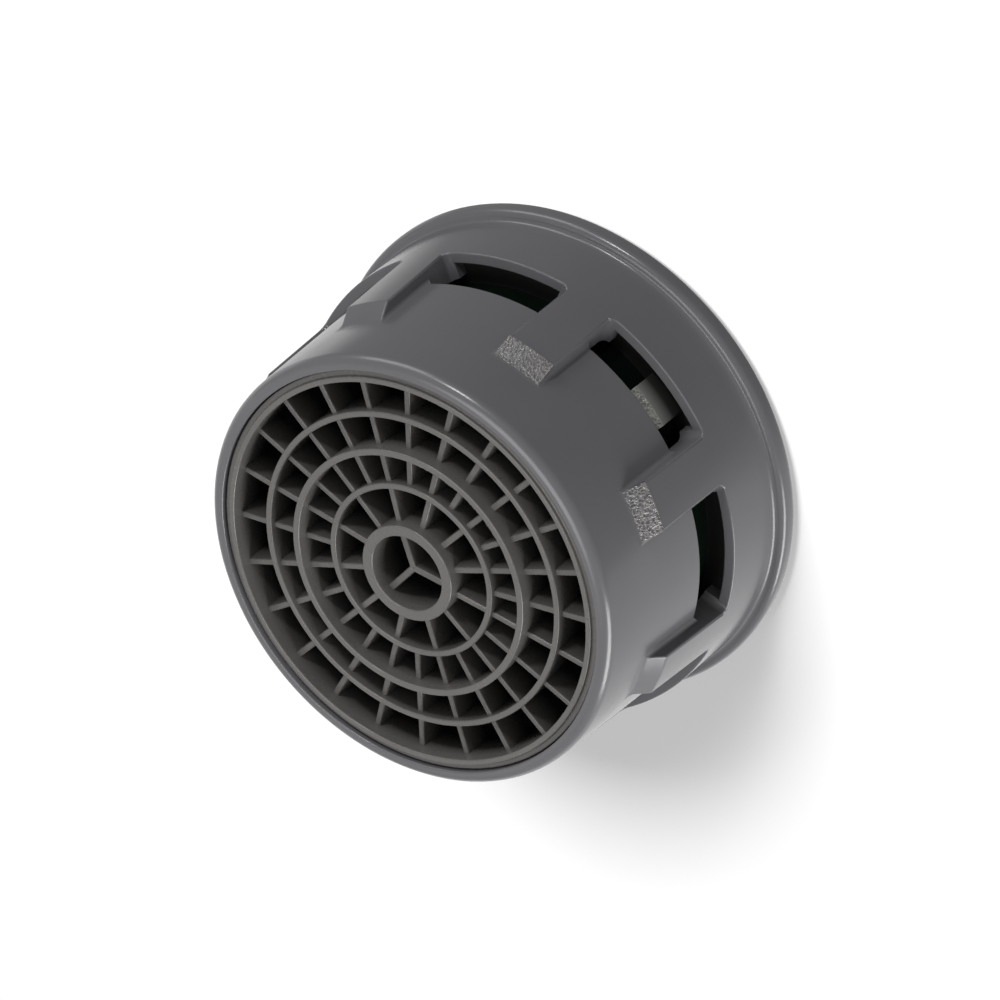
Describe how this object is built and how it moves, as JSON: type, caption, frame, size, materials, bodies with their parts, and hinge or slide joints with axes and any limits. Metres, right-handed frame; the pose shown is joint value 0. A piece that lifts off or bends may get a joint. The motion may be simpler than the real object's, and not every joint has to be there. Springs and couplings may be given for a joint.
{
  "type": "tap aerator insert",
  "caption": "Round plastic aerator insert for a tap spout, with air windows round its ribbed casing, a ring grille at the outlet and a filter at the inlet.",
  "frame": {"origin": "centre of the flange's inlet face, the lowest point of the part as it stands on its flange", "axes": "+Z along the flow axis from the inlet to the outlet; the windows are centred on X and Y and between them"},
  "size_m": [0.0208, 0.0208, 0.0115],
  "materials": {
    "grey_moulding": "satin dark grey acetal moulding",
    "grille_moulding": "satin dark grey acetal moulding",
    "inner_moulding": "satin dark grey acetal moulding",
    "carrier_moulding": "satin mid grey acetal moulding",
    "green_moulding": "glossy dark green moulding",
    "elastic_ring": "black elastomer",
    "filter_moulding": "pale grey moulded screen"
  },
  "bodies": {
    "root": {"casing": "grey_moulding", "outlet_grille": "grille_moulding", "mixing_grid": "inner_moulding", "jet_carrier": "carrier_moulding", "jet_plate": "green_moulding", "regulator_core": "inner_moulding", "regulator_ring": "elastic_ring", "inlet_filter": "filter_moulding"}
  },
  "joints": []
}
